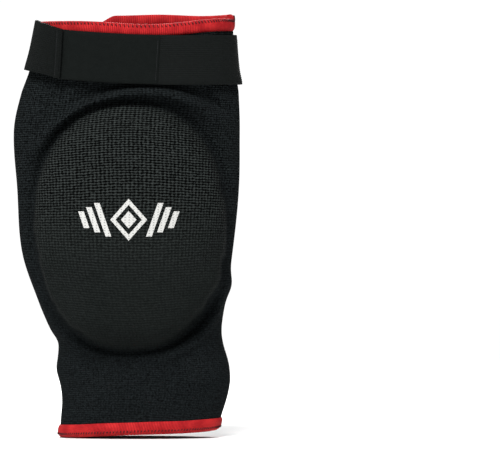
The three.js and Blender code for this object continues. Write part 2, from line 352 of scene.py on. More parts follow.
class Finish:
    def __init__(self, name):
        self.material = bpy.data.materials.new(name)
        self.material.use_nodes = True
        self.tree = self.material.node_tree
        self.shader = self.tree.nodes["Principled BSDF"]

    def feed(self, socket, value):
        if isinstance(value, Wire):
            self.tree.links.new(value.socket, socket)
        else:
            socket.default_value = value

    def node(self, kind, settings=(), sockets=(), out=0):
        made = self.tree.nodes.new(kind)
        for key, value in dict(settings).items():
            setattr(made, key, value)
        for key, value in dict(sockets).items():
            self.feed(made.inputs[key], value)
        return Wire(self, made.outputs[out])

    def math(self, operation, *values):
        return self.node("ShaderNodeMath", {"operation": operation}, dict(enumerate(values)))

    def mix(self, share, first, second):
        kind = {"data_type": "RGBA"}
        return self.node("ShaderNodeMix", kind, {0: share, 6: first, 7: second}, out=2)

    def split(self, vector):
        made = self.node("ShaderNodeSeparateXYZ", (), {0: vector})
        return made, Wire(self, made.socket.node.outputs[1]), Wire(self, made.socket.node.outputs[2])

    def uv(self):
        return self.split(self.node("ShaderNodeTexCoord", (), (), out=2))

    def place(self):
        return self.node("ShaderNodeTexCoord", (), (), out=3)

    def noise(self, vector, scale, detail=2.0):
        return self.node("ShaderNodeTexNoise", (), {"Vector": vector, "Scale": scale, "Detail": detail})

    def between(self, value, low, high):
        """0 below low, 1 above high, and a smooth rise between."""
        settings = {"interpolation_type": "SMOOTHSTEP"}
        return self.node("ShaderNodeMapRange", settings, {0: value, 1: low, 2: high, 3: 0.0, 4: 1.0})

    def relief(self, height, depth, strength=1.0):
        sockets = {"Strength": strength, "Distance": depth, "Height": height}
        return self.node("ShaderNodeBump", (), sockets)

    def set(self, **values):
        for key, value in values.items():
            self.feed(self.shader.inputs[key.replace("_", " ")], value)
        print("finish:", self.material.name)
        return self.material


# %% The floor's finish
def floor_finish():
    finish = Finish("pale_floor")
    return finish.set(Base_Color=(0.80, 0.80, 0.80, 1), Roughness=0.9)


floor.data.materials.append(floor_finish())

# %% [markdown]
# ## The waffle knit
# The knit shows small pits between soft ribs, in columns about 2 mm apart and rows about 1.4 mm
# apart. The sleeve's own UV map counts columns across and rows up, so the pits follow the cloth
# where it stretches. A pit is where both cosines peak, and a fine noise stands for the fuzz of the
# yarn. The deeper a place lies between the ribs, the darker it is painted: painted shade in the
# pits. Over the foam the cloth is taut, so its pits open, most of all high up. The knit on the
# dome is painted paler, partly as paler stretched yarn and partly as painted light, and the knit
# high up is painted paler still, as painted light from above. Along the sewn line round the foam
# the knit is painted darker, as painted shade in the groove.
# %% Knit finish
KNIT_COLUMNS = 168
KNIT_ROWS = 184
FRONT_FADE = 12 * MM
BLACK = (0.0, 0.0, 0.0, 1)


def on_outline(finish, across, up):
    """0 at the dome's middle and 1 on its outline, and the same from its middle line to its sides."""
    side = finish.math("ABSOLUTE", (across - DOME_X) * (1 / DOME_HALF_WIDTH))
    rise = finish.math("ABSOLUTE", (up - DOME_Z) * (1 / DOME_HALF_HEIGHT))
    return (side ** DOME_SQUARENESS + rise ** DOME_SQUARENESS) ** (1 / DOME_SQUARENESS), side


def knit_finish():
    finish = Finish("waffle_knit")
    columns, rows, _ = finish.uv()
    place = finish.place()
    across, deep, up = finish.split(place)
    fuzz = finish.noise(place, 2300.0, 3.0)
    lint = finish.noise(place, 900.0, 4.0)
    # Stitches slip a little from their even rows and columns.
    slip = (finish.noise(place, 300.0, 2.0) - 0.5) * 3.0
    patches = finish.noise(place, 45.0, 3.0)
    column = finish.math("COSINE", columns * (KNIT_COLUMNS * FULL_TURN) + slip)
    row = finish.math("COSINE", rows * (KNIT_ROWS * FULL_TURN) + slip * 1.3)
    # Masks: on the front, on the foam dome, high up (this one also paints light from above), and along the
    # sewn line (painted shade).
    share, side = on_outline(finish, across, up)
    front = 1 - finish.between(deep, -FRONT_FADE, 0.0)
    on_dome = (1 - finish.between(share, 0.965, 1.035)) * front
    high = finish.between(up, 85 * MM, 165 * MM)
    # Painted shade along the sewn groove round the foam, stronger towards the dome's sides.
    painted_groove_shade = 1 - finish.between(finish.math("ABSOLUTE", share - 1.02), 0.010, 0.034)
    painted_groove_shade = painted_groove_shade * (0.22 + 0.42 * finish.between(side, 0.3, 0.85))
    # How open the pits are and how ragged their edges, and how deep a place lies between the ribs; deeper
    # places are painted darker, as painted shade.
    openness = 0.30 + high * 0.3 + on_dome * (high * 0.6 - 0.06)
    pit = finish.between(column * 0.34 + row * 0.56 + (lint - 0.5) * 2.4, -0.95, 0.7)
    loose = 1.2 - on_dome * 0.7
    depth = 0.5 + (pit - 0.5) * openness + (lint - 0.5) * loose
    # Painted light: high up, both the slack and the taut knit are mixed towards paler colours, as light
    # from above.
    slack = finish.mix(patches, (0.0102, 0.0132, 0.0142, 1), (0.0136, 0.0168, 0.0178, 1))
    slack = finish.mix(high * 0.2, slack, (0.0260, 0.0310, 0.0315, 1))
    # The taut knit on the dome is paler than the slack knit, partly as stretched yarn and partly as
    # painted light on the dome.
    taut_and_painted_lit = finish.mix(patches, (0.0140, 0.0172, 0.0164, 1), (0.0190, 0.0226, 0.0214, 1))
    taut_and_painted_lit = finish.mix(high * 0.6, taut_and_painted_lit, (0.0385, 0.0445, 0.0430, 1))
    yarn = finish.mix(on_dome, slack, taut_and_painted_lit)
    # Painted shade: the deeper a place lies between the ribs, the nearer black it is painted.
    colour = finish.mix(depth, yarn, BLACK)
    # Painted shade: the knit in the sewn groove is darkened towards black.
    colour = finish.mix(painted_groove_shade * front, colour, BLACK)
    height = (1 - pit) * (0.25 + openness) + fuzz * 0.3 + lint * 0.4
    return finish.set(
        Base_Color=colour, Roughness=0.92, Specular_IOR_Level=0.03,
        Normal=finish.relief(height, 0.6 * MM, 0.9),
    )


knit = knit_finish()
print("knit:", KNIT_COLUMNS, "columns,", KNIT_ROWS, "rows")

# %% [markdown]
# ## The foam dome
# The foam is cut as a thick oval, crowned at the front. A ball's back half is pressed flat, and the
# whole is bent to the sleeve's curve. Foam in a tight pocket swells between its seams, so a cloth
# simulation blows it up a little: voxels give it an even skin, pressure pushes from inside, and a
# cap stops any point from going too far. The back lies against the lining, so it isn't let out.
# The knit is then laid over this shape.
# %% The foam's outline and blank
FOAM_SHARE = 0.988
FOAM_BACK = 1.9 * MM
FOAM_RISE = 18.0 * MM
FOAM_CROWN = 0.8
FOAM_VOXEL = 3.6 * MM
FOAM_FRAMES = 20
FOAM_PRESSURE = 4.0
FOAM_CAP = 5 * MM
KNIT_OVER_FOAM = 2.9 * MM


def outline_share(x, z):
    """0 at the dome's middle and 1 on its outline, a slightly squared oval."""
    across = np.abs(x - DOME_X) / DOME_HALF_WIDTH
    up = np.abs(z - DOME_Z) / DOME_HALF_HEIGHT
    return (across ** DOME_SQUARENESS + up ** DOME_SQUARENESS) ** (1 / DOME_SQUARENESS)


def foam_blank():
    bpy.ops.object.select_all(action="DESELECT")
    bpy.ops.mesh.primitive_uv_sphere_add(segments=64, ring_count=32, radius=1)
    blank = named("foam_dome")
    ball = corners(blank)
    turn = np.arctan2(ball[:, 2], ball[:, 0])
    power = DOME_SQUARENESS
    squared = (np.abs(np.cos(turn)) ** power + np.abs(np.sin(turn)) ** power) ** (-1 / power)
    x = DOME_X + ball[:, 0] * squared * DOME_HALF_WIDTH * FOAM_SHARE
    z = DOME_Z + ball[:, 2] * squared * DOME_HALF_HEIGHT * FOAM_SHARE
    bed = form(front_angle(x, z), z, 0)
    rise = np.maximum(-ball[:, 1], 0) ** FOAM_CROWN * FOAM_RISE
    y = bed[:, 1] + FOAM_BACK - rise
    move_corners(blank, np.stack([x, y, z], 1))
    apply_modifier(blank, "REMESH", mode="VOXEL", voxel_size=FOAM_VOXEL)
    return blank


foam = told(foam_blank())


# %% Swell the foam
def swell(piece, pressure, cap):
    """Blows a piece up from inside, and lets no corner go back or further than the cap."""
    before = corners(piece)
    pick(piece)
    modifier = piece.modifiers.new("Cloth", "CLOTH")
    cloth = modifier.settings
    cloth.quality = 6
    cloth.mass = 0.2
    cloth.use_pressure = True
    cloth.uniform_pressure_force = pressure
    cloth.shrink_min = -0.02
    cloth.effector_weights.gravity = 0
    modifier.point_cache.frame_start = 1
    modifier.point_cache.frame_end = FOAM_FRAMES
    for step in range(1, FOAM_FRAMES + 1):
        bpy.context.scene.frame_set(step)
    bpy.ops.object.modifier_apply(modifier=modifier.name)
    bpy.context.scene.frame_set(1)
    moved = corners(piece) - before
    moved[:, 1] = np.minimum(moved[:, 1], 0)
    length = np.linalg.norm(moved, axis=1)
    held = np.minimum(1, cap / np.maximum(length, 1e-9))
    move_corners(piece, before + moved * held[:, None])
    print(f"swelled {length.mean() / MM:.1f} mm on average, {length.max() / MM:.1f} mm at most")


swell(foam, FOAM_PRESSURE, FOAM_CAP)
apply_modifier(foam, "SUBSURF", levels=1, render_levels=1)
smooth(foam)
told(foam)

# %% [markdown]
# ## The knitted sleeve
# The sleeve starts as a flat panel, a grid with even columns and rows, which is also how its UV
# map comes to count stitches. The panel is rolled onto the form, its side edges are merged, and
# then each point is set off the form: over the foam, down into the sewn groove round it, and up
# over the folds that the strap and the waist push into loose cloth.
# %% Where the knit stands off the form
def surface_of(piece):
    """A copy of a piece's surface that rays can be cast at."""
    return BVHTree.FromPolygons(
        [corner.co.copy() for corner in piece.data.vertices],
        [tuple(face.vertices) for face in piece.data.polygons],
    )


foam_skin = surface_of(foam)
AROUND = 220
UP = 200
ROW_EASE = 0.16
ROW_BOW = 10 * MM


def foam_cover(x, z):
    """Where the knit over the foam has to be, or nothing where no foam is."""
    hit = foam_skin.ray_cast(Vector((x, -1, z)), Vector((0, 1, 0)))[0]
    return math.nan if hit is None else hit.y - KNIT_OVER_FOAM


def bump_at(value, width):
    return np.exp(-((value / width) ** 2))


# %% Folds of the loose knit
DOME_MEAN_RADIUS = 66 * MM
GROOVE_DEPTH = 2.4 * MM
RIDGE_TOP = 207.6 * MM
RIDGE_HEIGHT = 5.8 * MM
RIDGE_BOW = 7.3
VALLEY_DEPTH = 3.0 * MM


def knit_folds(x, z):
    """The sewn groove round the foam, the ridge and valley above it and the rolls beside its foot."""
    beyond = (outline_share(x, z) - 1) * DOME_MEAN_RADIUS
    up = (z - DOME_Z) / DOME_HALF_HEIGHT
    across = (x - DOME_X) / DOME_HALF_WIDTH
    groove = -GROOVE_DEPTH * bump_at(beyond - 1.6 * MM, 1.9 * MM)
    crest = RIDGE_TOP - RIDGE_BOW * (x - DOME_X - 9 * MM) ** 2
    below = 4.0 * MM + 5 * MM * ramp(np.abs(across), 0.45, 0.95)
    width = np.where(z > crest, 3.8 * MM, below)
    ridge = RIDGE_HEIGHT * bump_at(z - crest, width) * ramp(beyond, -1 * MM, 5 * MM)
    ridge = ridge * (1 - 0.45 * ramp(np.abs(across), 0.6, 0.95))
    valley = -VALLEY_DEPTH * bump_at(z - crest - 8.0 * MM, 4.2 * MM)
    valley = valley * (1 - ramp(np.abs(across - 0.25), 0.6, 0.95))
    low_right = 3.6 * MM * ramp(across, 0.15, 0.6) * ramp(-up, 0.1, 0.5)
    low_left = 1.2 * MM * ramp(-across, 0.25, 0.7) * ramp(-up, 0.3, 0.6)
    foot_rolls = bump_at(beyond - 6.5 * MM, 3.2 * MM) * (low_right + low_left)
    return groove + ridge + valley + foot_rolls


def ripples(x, z, wide, tall):
    """Slanting ripples, by their length across and up; a negative one slants them the other way."""
    return np.sin(x / wide + z / tall)


def waist_folds(x, z):
    """Soft creases where the waist bunches, front and back, and folds that reach its side edges."""
    slant = z + 0.32 * (x - SHIFT_X)
    crease = np.sin((slant - 40 * MM) / (9.5 * MM)) * bump_at(z - 58 * MM, 17 * MM)
    right = bump_at(x - SHIFT_X - 52 * MM, 24 * MM)
    left = bump_at(x - SHIFT_X + 46 * MM, 20 * MM)
    cuff = bump_at(z - 32 * MM, 18 * MM)
    slack = 0.35 * ripples(x, z, 21 * MM, 33 * MM) * ramp(z, 12 * MM, 30 * MM)
    slack = slack + cuff * (0.7 * ripples(x, z, 13 * MM, 9 * MM) + 0.3 * ripples(x, z, 6 * MM, -7 * MM))
    slack = slack + 0.4 * ripples(x, z, 11 * MM, -16 * MM) * ramp(z, 175 * MM, 200 * MM)
    folds = 0.9 * crease * (0.2 + right + 0.7 * left)
    left_edge = ramp(SHIFT_X - x, 24 * MM, 44 * MM)
    right_edge = ramp(x - SHIFT_X, 28 * MM, 48 * MM)
    folds = folds + left_edge * (2.6 * bump_at(z - 42 * MM, 8 * MM) - 1.4 * bump_at(z - 58 * MM, 5 * MM))
    folds = folds + right_edge * (1.8 * bump_at(z - 47 * MM, 15 * MM) + 2.6 * bump_at(z - 92 * MM, 8 * MM))
    return (folds + slack * ramp(240 * MM - z, 0, 20 * MM)) * MM


# %% Roll the panel
def knit_height(up):
    """Height of a row: rows stand closer at the hems than over the dome."""
    eased = up - ROW_EASE / FULL_TURN * np.sin(FULL_TURN * up)
    return knit_low + (knit_high - knit_low) * eased


def row_arch(x, z):
    """Rows stretched over the dome bow away from its middle."""
    up = (z - DOME_Z) / DOME_HALF_HEIGHT
    return ROW_BOW * up * np.exp(-1.3 * up * up) * bump_at(x - DOME_X, 40 * MM)


def knit_skin(u, z):
    """The knit's outer face with its folds, and how much further out the foam holds it."""
    x, y, _ = form(u, z, 0).T
    front = y < SHIFT_Y
    on_front = ramp(SHIFT_Y - y, 3 * MM, 13 * MM)
    between_tapes = ramp(z, 9 * MM, 20 * MM) * ramp(246 * MM - z, 0, 14 * MM)
    off = (knit_folds(x, z) * on_front + waist_folds(x, z)) * between_tapes
    skin = form(u, z, off)
    cover = np.array([foam_cover(a, b) if f else math.nan for a, b, f in zip(x, z, front)])
    rise = np.nan_to_num(skin[:, 1] - cover)
    return skin, np.maximum(rise, 0)


HEM_SLANT = 3.9 * MM
HEM_WAVE = 0.3 * MM


def hem_lift(u):
    """How far the hem stands higher towards +X, with the slight waves of soft cloth."""
    side = (1 + np.cos(u)) / 2
    return HEM_SLANT * side ** 1.2 + HEM_WAVE * (1 + np.sin(3 * u + 0.8))


def top_lift(u):
    """The top edge: it dips at the front's middle and stands up at the back."""
    side = np.cos(u)
    front = -0.8 + 2.0 * ramp(side, 0.3, 1.0) - 2.3 * bump_at(side - 0.12, 0.45)
    back = -1.0 + 5.2 * ramp(side, -0.42, -0.22) - 0.5 * ramp(side, 0.2, 0.8) + 0.3 * np.sin(side * 7)
    share = ramp(np.sin(u), -0.12, 0.12)
    return (front * (1 - share) + back * share) * MM


def even_out(values, rounds):
    """Averages each value with its neighbours on the panel; the panel closes on itself across."""
    for _ in range(rounds):
        values = (np.roll(values, 1, 1) + 2 * values + np.roll(values, -1, 1)) / 4
        inner = (values[:-2] + 2 * values[1:-1] + values[2:]) / 4
        values = np.concatenate([values[:1], inner, values[-1:]])
    return values


def reach_out(values):
    """Each value or the largest beside it, so the knit clears the foam's rim between its points."""
    values = np.maximum(values, np.maximum(np.roll(values, 1, 1), np.roll(values, -1, 1)))
    inner = np.maximum(values[1:-1], np.maximum(values[:-2], values[2:]))
    return np.concatenate([values[:1], inner, values[-1:]])


def knit_panel():
    bpy.ops.object.select_all(action="DESELECT")
    bpy.ops.mesh.primitive_grid_add(x_subdivisions=AROUND, y_subdivisions=UP, size=1)
    panel = named("knit_sleeve")
    flat = corners(panel)
    u = (flat[:, 0] + 0.5) * FULL_TURN
    z = knit_height(flat[:, 1] + 0.5)
    z = z + hem_lift(u) * (1 - ramp(z, 8 * MM, 40 * MM)) + top_lift(u) * ramp(z, 212 * MM, 247 * MM)
    z = z + row_arch(form(u, z, 0)[:, 0], z) * (u > math.pi)
    skin, rise = knit_skin(u, z)
    grid = rise.reshape(UP + 1, AROUND + 1)
    grid = even_out(reach_out(grid[:, :-1]), 1)
    rise = np.concatenate([grid, grid[:, :1]], 1).ravel()
    skin[:, 1] -= rise
    move_corners(panel, skin)
    in_edit(panel, merge, outward)
    return panel


sleeve = told(knit_panel())


# %% [markdown]
# The hole at the elbow pit is cut out of the panel's back by selecting the faces inside its
# outline and deleting them. The cut edge can stay rough, because the red ring is folded over it.
# Then the panel gets its wall, inwards, so that the outer face stays where it was shaped.
# %% Cut the hole and give the knit its wall
ring_low, ring_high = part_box("hole_binding")
HOLE_X = (ring_low.x + ring_high.x) / 2
HOLE_Z = (ring_low.z + ring_high.z) / 2
RING_WIDTH = 8 * MM
HOLE_HALF_WIDTH = (ring_high.x - ring_low.x) / 2 - RING_WIDTH
HOLE_HALF_HEIGHT = (ring_high.z - ring_low.z) / 2 - RING_WIDTH
HOLE_FLATNESS = 0.72
HOLE_SAG = 0.9 * MM
CUT_UNDER_RING = 3.5 * MM


def hole_edge(turn, out):
    """A place beside the hole: round at the top, flatter below, and out from its edge."""
    flat = np.where(np.sin(turn) < 0, HOLE_FLATNESS, 1.0)
    rise = np.sign(np.sin(turn)) * np.abs(np.sin(turn)) ** flat
    x = HOLE_X + (HOLE_HALF_WIDTH + out) * np.cos(turn)
    sag = HOLE_SAG * np.sin(turn * 2 + 0.6) * (np.sin(turn) < 0)
    return x, HOLE_Z + (HOLE_HALF_HEIGHT + out) * rise + sag


def cut_hole(piece):
    pick(piece)
    bpy.ops.object.mode_set(mode="EDIT")
    bpy.ops.mesh.select_mode(type="FACE")
    bpy.ops.mesh.select_all(action="DESELECT")
    bpy.ops.object.mode_set(mode="OBJECT")
    half_width = HOLE_HALF_WIDTH + CUT_UNDER_RING
    half_height = HOLE_HALF_HEIGHT + CUT_UNDER_RING
    for face in piece.data.polygons:
        across = (face.center.x - HOLE_X) / half_width
        up = (face.center.z - HOLE_Z) / half_height
        face.select = face.center.y > SHIFT_Y and across * across + up * up < 1
    bpy.ops.object.mode_set(mode="EDIT")
    bpy.ops.mesh.delete(type="FACE")
    bpy.ops.object.mode_set(mode="OBJECT")


cut_hole(sleeve)
knit_face = surface_of(sleeve)
apply_modifier(sleeve, "SOLIDIFY", thickness=KNIT_WALL, offset=-1)
smooth(sleeve, 50)
sleeve.data.materials.append(knit)
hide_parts("sleeve_lower", "sleeve_upper")
told(sleeve)

# %% [markdown]
# ## Where the elbow bends
# The pad folds at the elbow. Where the bend starts and ends is set from the elbow joint, and one
# helper is run on every piece that lies across the fold; it only bakes the piece's transform.
# %% The bend
def hinge(name):
    """Where a joint of the frame turns."""
    return [joint for joint in frame["joints"] if joint["name"] == name][0]["pos_m"]


elbow = hinge("elbow_flex")
BEND_START = (0, elbow[1], 0.050)
BEND_END = (0, elbow[1], 0.205)


def bends(piece):
    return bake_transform(piece)


bends(sleeve)
print("bends from", BEND_START[2] / MM, "to", BEND_END[2] / MM, "mm up")

# %% [markdown]
# ## The foam and its lining
# The foam keeps the blown-up shape from the simulation. Its skin is closed-cell, so it has a fine
# grain of tiny bubbles. The lining is a thin cloth behind it, sewn to the knit round its edge:
# a disc of cloth, bent to the inside of the sleeve and given a thin wall.
# %% Foam finish
def foam_finish():
    finish = Finish("grey_foam")
    place = finish.place()
    cells = finish.node("ShaderNodeTexVoronoi", (), {"Vector": place, "Scale": 900.0})
    colour = finish.mix(cells, (0.05, 0.05, 0.053, 1), (0.1, 0.1, 0.105, 1))
    return finish.set(Base_Color=colour, Roughness=0.8, Normal=finish.relief(cells, 0.0003))


foam.data.materials.append(foam_finish())
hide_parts("foam_pad")
bends(foam)


# %% Lining
def lining_finish():
    finish = Finish("lining_cloth")
    across, up, _ = finish.uv()
    weave = finish.math("SINE", across * 900.0) * finish.math("SINE", up * 1200.0)
    fuzz = finish.noise(finish.place(), 900.0, 3.0)
    colour = finish.mix(fuzz, (0.0030, 0.0034, 0.0042, 1), (0.0075, 0.0080, 0.0095, 1))
    height = weave * 0.4 + fuzz
    return finish.set(
        Base_Color=colour, Roughness=0.95, Specular_IOR_Level=0.04,
        Normal=finish.relief(height, 0.0002, 0.7),
    )


LINING_HALF_WIDTH = 56.5 * MM
LINING_HALF_HEIGHT = 77 * MM
LINING_DEPTH = -KNIT_WALL - 0.4 * MM
LINING_WALL = 0.7 * MM
LINING_RINGS = 12
LINING_PUCKERS = 24


def lining_disc():
    bpy.ops.object.select_all(action="DESELECT")
    bpy.ops.mesh.primitive_circle_add(vertices=96, radius=1, fill_type="NGON")
    disc = named("pad_lining_cloth")

    def fill_rings():
        for _ in range(LINING_RINGS - 1):
            bpy.ops.mesh.inset(thickness=1 / LINING_RINGS, depth=0)

    in_edit(disc, fill_rings)
    flat = corners(disc)
    x = DOME_X + flat[:, 0] * LINING_HALF_WIDTH
    z = DOME_Z + flat[:, 1] * LINING_HALF_HEIGHT
    pucker = 0.25 * MM * np.sin(np.arctan2(flat[:, 1], flat[:, 0]) * LINING_PUCKERS)
    edge = ramp(np.hypot(flat[:, 0], flat[:, 1]), 0.85, 1.0)
    move_corners(disc, form(front_angle(x, z), z, LINING_DEPTH - 0.3 * MM + pucker * edge))
    apply_modifier(disc, "SOLIDIFY", thickness=LINING_WALL, offset=0)
    in_edit(disc, outward)
    smooth(disc, 50)
    return disc


lining = told(lining_disc())
lining.data.materials.append(lining_finish())
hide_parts("pad_lining")
bends(lining)

# %% [markdown]
# ## Red tape over the edges
# Each edge is bound with soft red tape, folded over the knit and filled out by it, so its section
# is a fat rounded bar. A ring primitive has just the right net for that: its way round becomes the
# way round the sleeve, and its round section becomes the bar. Fine ribs run across the tape.
# %% Tape finish
def tape_finish(name, ribs_around):
    finish = Finish(name)
    across, up, _ = finish.uv()
    ribs = finish.math("SINE", across * (ribs_around * FULL_TURN))
    place = finish.place()
    fuzz = finish.noise(place, 1500.0, 3.0)
    wear = finish.between(finish.noise(place, 170.0, 4.0), 0.3, 0.7)
    worn = finish.mix(wear, (0.31, 0.0060, 0.0090, 1), (0.52, 0.020, 0.021, 1))
    # Painted shade: the hollows between the ribs are painted dark red.
    painted_rib_shade = finish.between(ribs, -0.9, 0.2)
    colour = finish.mix(painted_rib_shade, (0.19, 0.003, 0.005, 1), worn)
    height = ribs * 0.35 + fuzz * 0.5
    return finish.set(
        Base_Color=colour, Roughness=0.75, Specular_IOR_Level=0.12,
        Normal=finish.relief(height, 0.00025, 0.8),
    )


TAPE_RIBS = 320
TAPE_SQUARENESS = 2.3
tape = tape_finish("red_tape", TAPE_RIBS)
RING_MAJOR = 1.0
RING_MINOR = 0.25


def ring_blank(name, around, section_points):
    """A ring primitive with its angles round and across, ready to be laid along an edge."""
    bpy.ops.object.select_all(action="DESELECT")
    bpy.ops.mesh.primitive_torus_add(
        major_segments=around, minor_segments=section_points,
        major_radius=RING_MAJOR, minor_radius=RING_MINOR,
    )
    ring = named(name)
    flat = corners(ring)
    turn = np.arctan2(flat[:, 1], flat[:, 0])
    roll = np.arctan2(flat[:, 2], np.hypot(flat[:, 0], flat[:, 1]) - RING_MAJOR)
    return ring, turn, roll


def fat_bar(roll, half_width, half_height):
    """A rounded bar's section: offsets across and up for each angle round it."""
    power = 2 / TAPE_SQUARENESS
    across = np.sign(np.cos(roll)) * np.abs(np.cos(roll)) ** power * half_width
    up = np.sign(np.sin(roll)) * np.abs(np.sin(roll)) ** power * half_height
    return across, up


# %% Hem and top bindings
TAPE_OUT = 1.55 * MM
TAPE_IN = 3.7 * MM
TAPE_TWIST = 0.09 * MM
HEM_HEIGHT = hem_high.z - hem_low.z
top_low, top_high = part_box("top_binding")


def edge_tape(name, middle, height, lift):
    ring, turn, roll = ring_blank(name, 240, 20)
    across, up = fat_bar(roll, (TAPE_OUT + TAPE_IN) / 2, height / 2)
    out = across + (TAPE_OUT - TAPE_IN) / 2 + TAPE_TWIST * np.sin(turn * 9 + roll)
    move_corners(ring, form(turn, middle + up + lift(turn), out))
    in_edit(ring, outward)
    smooth(ring)
    ring.data.materials.append(tape)
    return told(ring)


hem = edge_tape("hem_tape", HEM_HEIGHT / 2, HEM_HEIGHT, hem_lift)
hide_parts("hem_binding")
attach(hem, LOWER)
top_tape = edge_tape("top_tape", (top_low.z + top_high.z) / 2, HEM_HEIGHT, top_lift)
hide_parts("top_binding")
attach(top_tape, UPPER)

# %% [markdown]
# The ring round the hole is wrapped by an overlock machine: close threads run over its edge from
# the inside to the outside, so its surface is ribbed and its outer edge is slightly scalloped.
# %% Hole ring
OVERLOCK = 72
RING_OUT = 1.9 * MM
RING_IN = 4.4 * MM
RING_WAVE = 0.4 * MM


def back_face(x, z):
    """How far back the form is at a place on the back."""
    middle, half_width, half_depth = section(z)
    across = np.clip((x - SHIFT_X - middle) / half_width, -1, 1)
    return SHIFT_Y + half_depth * np.sqrt(1 - across * across)


def hole_place(turn, out, proud):
    x, z = hole_edge(turn, out)
    return np.stack([x, back_face(x, z) + proud, z], 1)


def hole_ring():
    ring, turn, roll = ring_blank("hole_tape", OVERLOCK * 6, 20)
    across, up = fat_bar(roll, RING_WIDTH / 2, (RING_OUT + RING_IN) / 2)
    thread = np.abs(np.sin(turn * OVERLOCK / 2))
    out = RING_WIDTH / 2 + across * (1 + 0.06 * thread * (across > 0))
    proud = (RING_OUT - RING_IN) / 2 + up * (0.93 + 0.07 * thread)
    proud = proud + RING_WAVE * np.sin(3 * turn)
    move_corners(ring, hole_place(turn, out, proud))
    in_edit(ring, outward)
    smooth(ring)
    ring.data.materials.append(tape_finish("red_overlock", OVERLOCK * 1.5))
    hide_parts("hole_binding")
    bends(ring)
    return told(ring)


hole_tape = hole_ring()

# %% [markdown]
# ## Stitches
# A row of stitches is one small bead of thread, repeated. The bead is a low ball, an Array modifier
# lines its copies up, and each copy is then laid on its own place along the seam. The bead keeps
# to a few dozen faces because there are hundreds of them.
# %% Rows of stitches
def thread_finish(name, colour, dark):
    finish = Finish(name)
    twist = finish.noise(finish.place(), 3000.0, 2.0)
    return finish.set(
        Base_Color=finish.mix(twist, dark, colour), Roughness=0.75, Specular_IOR_Level=0.25,
        Normal=finish.relief(twist, 0.0001),
    )


dark_red_thread = thread_finish("dark_red_thread", (0.070, 0.004, 0.006, 1), (0.028, 0.002, 0.003, 1))
black_thread = thread_finish("black_thread", (0.012, 0.013, 0.015, 1), (0.004, 0.0045, 0.005, 1))


def stitch_row(name, count, length, width, place_at, thread):
    """Lays count stitches; place_at(step, along, across, proud) gives their corners' places."""
    bpy.ops.object.select_all(action="DESELECT")
    bpy.ops.mesh.primitive_uv_sphere_add(segments=6, ring_count=4, radius=0.5)
    row = named(name)
    spacing = (2.0, 0.0, 0.0)
    apply_modifier(
        row, "ARRAY", count=count, use_relative_offset=False,
        use_constant_offset=True, constant_offset_displace=spacing,
    )
    beads = corners(row)
    step = np.round(beads[:, 0] / spacing[0])
    along = (beads[:, 0] - step * spacing[0]) * width
    move_corners(row, place_at(step / count, along, beads[:, 2] * length, beads[:, 1] * width))
    in_edit(row, outward)
    smooth(row)
    row.data.materials.append(thread)
    return told(row)


def around_edge(middle, lift, out, lean):
    """Stitches round a bound edge, at a height above the tape's middle; lean slants them."""
    def place_at(step, along, across, proud):
        u = FULL_TURN * step
        z = middle + lift(u)
        _, half_width, half_depth = section(z)
        turn = (along + lean * across) / np.hypot(half_width * np.sin(u), half_depth * np.cos(u))
        return form(u + turn, z + across, out + proud)
    return place_at


hem_stitches = stitch_row(
    "hem_stitches", count=144, length=1.5 * MM, width=0.8 * MM,
    place_at=around_edge(middle=2.3 * MM, lift=hem_lift, out=TAPE_OUT - 0.12 * MM, lean=0.35),
    thread=dark_red_thread,
)
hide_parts("hem_seam")
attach(hem_stitches, LOWER)
top_stitches = stitch_row(
    "top_stitches", count=150, length=1.9 * MM, width=0.9 * MM,
    place_at=around_edge(top_high.z - 1.5 * MM, top_lift, out=TAPE_OUT - 0.2 * MM, lean=-0.5),
    thread=dark_red_thread,
)
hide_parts("top_seam")
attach(top_stitches, UPPER)


# %% Stitches round the hole and the lining
def beside_hole(out):
    def place_at(step, along, across, proud):
        turn = FULL_TURN * step
        reach = HOLE_HALF_WIDTH + out
        return hole_place(turn + along / reach, out + across, RING_OUT * 0.42 + proud)
    return place_at


hole_stitches = stitch_row(
    "hole_stitches", count=120, length=2.0 * MM, width=0.9 * MM,
    place_at=beside_hole(RING_WIDTH - 0.1 * MM), thread=dark_red_thread,
)
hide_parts("hole_seam")
bends(hole_stitches)


LINING_MARGIN = 3 * MM


def inside_lining(step, along, across, proud):
    turn = FULL_TURN * step + along / LINING_HALF_HEIGHT
    inset = LINING_MARGIN - across
    x = DOME_X + (LINING_HALF_WIDTH - inset) * np.cos(turn)
    z = DOME_Z + (LINING_HALF_HEIGHT - inset) * np.sin(turn)
    return form(front_angle(x, z), z, LINING_DEPTH - 0.75 * MM + proud)


lining_stitches = stitch_row(
    "lining_stitches", count=180, length=1.4 * MM, width=0.7 * MM,
    place_at=inside_lining, thread=black_thread,
)
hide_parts("lining_seam")
bends(lining_stitches)

# %% [markdown]
# ## The elastic strap
# The strap is a flat woven elastic, sewn to the knit at one side. It goes round the back, and its
# tail is folded over the front and held by hook and loop tape. Every layer is a grid, wrapped along
# the same line with its own distance off the knit, then given a wall with softly rounded edges.
# %% Elastic finish
ELASTIC_RIBS = 26
ELASTIC_WEFT = 420


